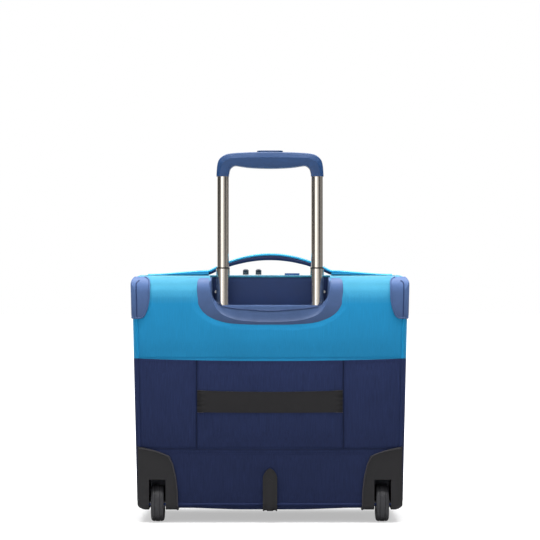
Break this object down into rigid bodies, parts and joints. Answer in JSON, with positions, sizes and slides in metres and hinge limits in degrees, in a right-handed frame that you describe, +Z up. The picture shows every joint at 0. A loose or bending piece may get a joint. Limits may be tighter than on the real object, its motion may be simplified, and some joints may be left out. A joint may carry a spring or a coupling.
{
  "type": "rolling laptop case",
  "caption": "Soft-sided two-wheel laptop case with a telescopic trolley handle let into a rear tray, a top carry handle, a hinged front lid and an elastic rear band.",
  "frame": {"origin": "centre of the footprint, on the floor", "axes": "+Z up; the rear with the trolley handle and wheels faces -Y, the lid and pocket face +Y; +X is right seen from the rear"},
  "size_m": [0.4192, 0.205, 0.559],
  "materials": {
    "fabric_turquoise": "woven, satin",
    "fabric_navy": "woven twill",
    "elastic_black": "ribbed elastic",
    "lining": "plain woven",
    "webbing": "woven strap",
    "zip_coil": "coil",
    "board": "matt",
    "tray_plastic": "satin moulded",
    "grip_plastic": "satin moulded",
    "black_plastic": "satin moulded",
    "hub_plastic": "satin moulded",
    "tube_steel": "drawn along its length",
    "steel": "plain",
    "slider_metal": "satin",
    "rubber": "matt",
    "tyre": "satin"
  },
  "bodies": {
    "case": {"rear_panel_upper": "fabric_turquoise", "rear_panel_centre": "fabric_navy", "rear_panel_sides": "fabric_navy", "rear_panel_lower": "fabric_navy", "rear_piping": "fabric_navy", "side_panels_upper": "fabric_turquoise", "side_panels_lower": "fabric_navy", "top_panel": "fabric_turquoise", "bottom_panel": "fabric_navy", "front_lower_panel": "fabric_navy", "back_board": "board", "base_board": "board", "inner_wall": "lining", "laptop_sleeve": "lining", "frame_hoop": "steel", "luggage_band": "elastic_black", "trolley_tray": "tray_plastic", "tray_screws": "steel", "trolley_bracket": "black_plastic", "fixed_tubes": "steel", "fixed_bushes": "black_plastic", "strap_ends": "webbing", "corner_guards": "tray_plastic", "skid_guard": "black_plastic", "front_feet": "rubber", "wheel_housing_left": "black_plastic", "wheel_housing_right": "black_plastic", "wheel_axles": "steel", "zip_chain_case": "zip_coil", "zip_dock": "tray_plastic"},
    "stage1": {"stage1_tubes": "tube_steel", "stage1_collars": "black_plastic", "stage1_feet": "black_plastic"},
    "stage2": {"stage2_tubes": "tube_steel", "stage2_feet": "black_plastic", "grip_body": "grip_plastic", "grip_cap": "grip_plastic"},
    "release": {"release_button": "grip_plastic", "release_bar": "black_plastic", "pull_rods": "steel"},
    "pin_left": {"lock_pin_left": "steel"},
    "pin_right": {"lock_pin_right": "steel"},
    "wheel_left": {"tyre_left": "tyre", "wheel_hub_left": "hub_plastic"},
    "wheel_right": {"tyre_right": "tyre", "wheel_hub_right": "hub_plastic"},
    "lid": {"lid_shell": "fabric_navy", "zip_chain_lid": "zip_coil", "face_zip_chain": "zip_coil", "front_pocket": "fabric_navy"},
    "carry_handle": {"handle_strap": "webbing", "handle_pad": "fabric_navy"},
    "slider_a": {"zip_slider_a": "slider_metal"},
    "slider_b": {"zip_slider_b": "slider_metal"},
    "face_slider": {"face_zip_slider": "slider_metal"},
    "pull_a": {"zip_pull_a": "slider_metal"},
    "pull_b": {"zip_pull_b": "slider_metal"},
    "face_pull": {"face_zip_pull": "slider_metal"}
  },
  "joints": [
    {"name": "trolley_stage1_slide", "type": "slide", "parent": "case", "child": "stage1", "axis": [0, 0, 1], "range_m": [-0.057, 0.187]},
    {"name": "trolley_stage2_slide", "type": "slide", "parent": "stage1", "child": "stage2", "axis": [0, 0, 1], "range_m": [-0.1345, 0.103]},
    {"name": "release_button_press", "type": "slide", "parent": "stage2", "child": "release", "axis": [0, 0, 1], "range_m": [-0.004, 0], "stiffness_N_per_m": 600, "springref_m": 0.005},
    {"name": "lock_pin_left_slide", "type": "slide", "parent": "stage2", "child": "pin_left", "axis": [-1, 0, 0], "range_m": [-0.002, 0]},
    {"name": "lock_pin_right_slide", "type": "slide", "parent": "stage2", "child": "pin_right", "axis": [1, 0, 0], "range_m": [-0.002, 0]},
    {"name": "wheel_left_spin", "type": "hinge", "parent": "case", "child": "wheel_left", "pos_m": [-0.169, -0.075, 0.0275], "axis": [1, 0, 0], "continuous": true},
    {"name": "wheel_right_spin", "type": "hinge", "parent": "case", "child": "wheel_right", "pos_m": [0.169, -0.075, 0.0275], "axis": [1, 0, 0], "continuous": true},
    {"name": "lid_hinge", "type": "hinge", "parent": "case", "child": "lid", "pos_m": [0, 0.08, 0.075], "axis": [-1, 0, 0], "range_deg": [0, 90]},
    {"name": "carry_handle_tip", "type": "hinge", "parent": "case", "child": "carry_handle", "pos_m": [0, -0.01, 0.377], "axis": [1, 0, 0], "range_deg": [-20, 20], "stiffness_Nm_per_rad": 0.5},
    {"name": "zip_slider_a_run", "type": "slide", "parent": "case", "child": "slider_a", "axis": [1, 0, 0], "range_m": [-0.005, 0.195]},
    {"name": "zip_slider_b_run", "type": "slide", "parent": "case", "child": "slider_b", "axis": [1, 0, 0], "range_m": [-0.14, 0.005]},
    {"name": "face_slider_run", "type": "slide", "parent": "lid", "child": "face_slider", "axis": [1, 0, 0], "range_m": [0, 0.26]},
    {"name": "zip_pull_a_flip", "type": "hinge", "parent": "slider_a", "child": "pull_a", "pos_m": [-0.018, 0.048, 0.3781], "axis": [1, 0, 0], "range_deg": [0, 160]},
    {"name": "zip_pull_b_flip", "type": "hinge", "parent": "slider_b", "child": "pull_b", "pos_m": [-0.038, 0.048, 0.3781], "axis": [1, 0, 0], "range_deg": [0, 160]},
    {"name": "face_pull_flip", "type": "hinge", "parent": "face_slider", "child": "face_pull", "pos_m": [-0.13, 0.088, 0.325], "axis": [1, 0, 0], "range_deg": [0, 150]}
  ],
  "couplings": [
    {"joint": "lock_pin_left_slide", "follows": "release_button_press", "ratio": 0.5},
    {"joint": "lock_pin_right_slide", "follows": "release_button_press", "ratio": 0.5}
  ]
}
